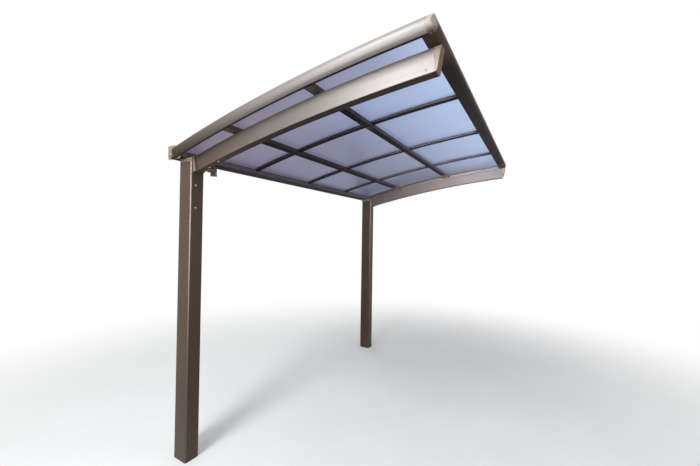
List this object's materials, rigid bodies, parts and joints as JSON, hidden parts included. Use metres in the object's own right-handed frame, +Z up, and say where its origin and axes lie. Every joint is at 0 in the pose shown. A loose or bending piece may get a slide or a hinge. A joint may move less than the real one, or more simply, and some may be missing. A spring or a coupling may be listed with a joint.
{
  "type": "cantilever cycle port",
  "caption": "Open cycle port: posts by a wall carry arched beams and an arched clear roof that keeps rain off bicycles.",
  "frame": {"origin": "middle of the near post's foot face, at ground level", "axes": "+X away from the wall, towards the tip of the roof; +Y along the wall, towards the far post; +Z up"},
  "size_m": [1.9061, 2.872, 2.4391],
  "materials": {
    "frame_metal": "champagne anodised, satin",
    "cap_metal": "champagne painted caps, satin",
    "bracket_metal": "dark bronze, satin",
    "clear_panel": "clear grey-blue smoke polycarbonate",
    "pipe_plastic": "bronze plastic pipe"
  },
  "bodies": {
    "root": {"near_post": "frame_metal", "far_post": "frame_metal", "near_post_cap": "cap_metal", "far_post_cap": "cap_metal", "near_joint_bracket": "bracket_metal", "far_joint_bracket": "bracket_metal", "near_beam_collar": "frame_metal", "far_beam_collar": "frame_metal", "near_beam": "frame_metal", "far_beam": "frame_metal", "near_beam_end": "cap_metal", "far_beam_end": "cap_metal", "purlin_cleats": "bracket_metal", "inner_purlin": "frame_metal", "outer_purlin": "frame_metal", "near_rafter": "frame_metal", "middle_rafter": "frame_metal", "far_rafter": "frame_metal", "near_rafter_cover": "frame_metal", "middle_rafter_cover": "frame_metal", "far_rafter_cover": "frame_metal", "near_side_frame": "frame_metal", "far_side_frame": "frame_metal", "front_frame": "frame_metal", "rear_rail": "frame_metal", "gutter_floor": "frame_metal", "gutter_back": "frame_metal", "near_front_corner": "cap_metal", "far_front_corner": "cap_metal", "near_rear_corner": "cap_metal", "far_rear_corner": "cap_metal", "roof_panel_1": "clear_panel", "roof_panel_2": "clear_panel", "roof_panel_3": "clear_panel", "roof_panel_4": "clear_panel", "gutter_outlet": "pipe_plastic", "drain_elbow": "pipe_plastic", "downpipe": "pipe_plastic", "pipe_clips": "pipe_plastic"}
  },
  "joints": []
}
